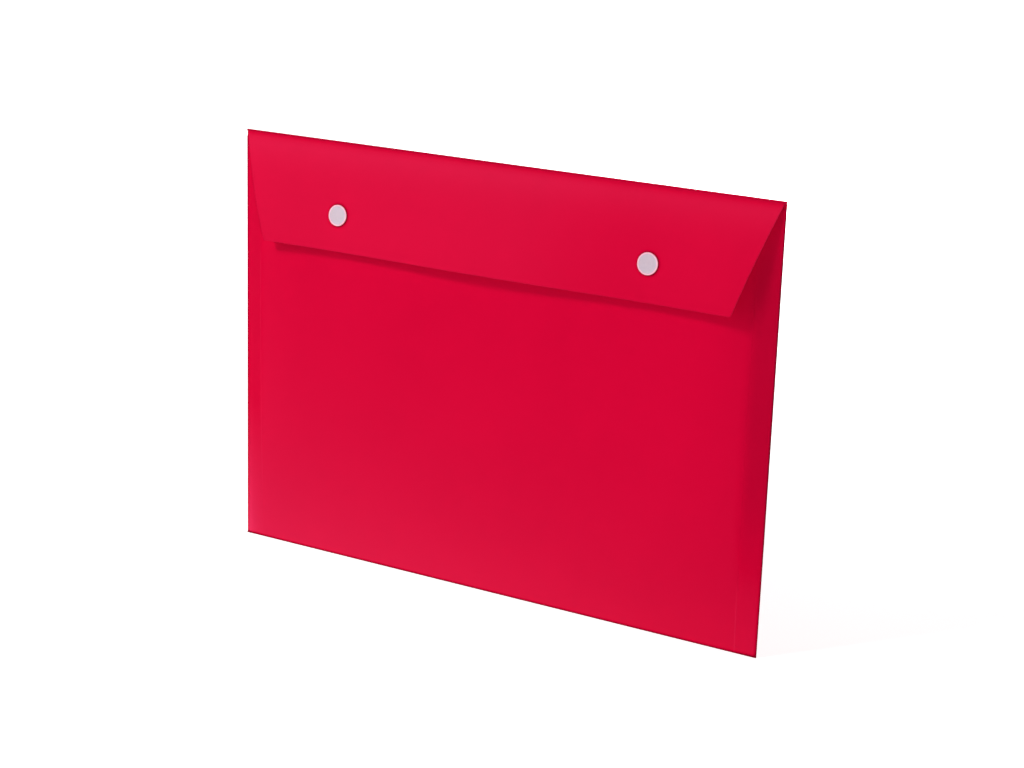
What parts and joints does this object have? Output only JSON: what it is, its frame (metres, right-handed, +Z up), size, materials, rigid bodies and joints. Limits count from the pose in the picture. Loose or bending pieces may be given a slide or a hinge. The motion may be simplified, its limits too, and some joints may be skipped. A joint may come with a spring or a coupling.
{
  "type": "document wallet",
  "caption": "Landscape plastic document wallet with a bowed front pocket, scored side gussets and a tapered flap that swings over the mouth and closes with press studs.",
  "frame": {"origin": "bottom centre of the wallet's box, standing upright on its bottom fold", "axes": "+X along the width to the right as seen from the front, +Y towards the back, +Z up from the bottom fold to the flap's crease"},
  "size_m": [0.335, 0.0124, 0.245],
  "materials": {
    "red_sheet": "satin red polypropylene sheet",
    "white_stud": "smooth white moulded plastic"
  },
  "bodies": {
    "pocket": {"back_panel": "red_sheet", "bottom_fold": "red_sheet", "front_panel": "red_sheet", "left_side_weld": "red_sheet", "right_side_weld": "red_sheet", "flap_crease": "red_sheet", "left_press_stud": "white_stud", "right_press_stud": "white_stud", "left_press_rivet": "white_stud", "right_press_rivet": "white_stud"},
    "flap": {"flap": "red_sheet", "left_press_cap": "white_stud", "right_press_cap": "white_stud", "left_press_socket": "white_stud", "right_press_socket": "white_stud"}
  },
  "joints": [
    {"name": "flap_hinge", "type": "hinge", "parent": "pocket", "child": "flap", "pos_m": [0, 0.00573, 0.2445], "axis": [-1, 0, 0], "range_deg": [0, 180]}
  ]
}
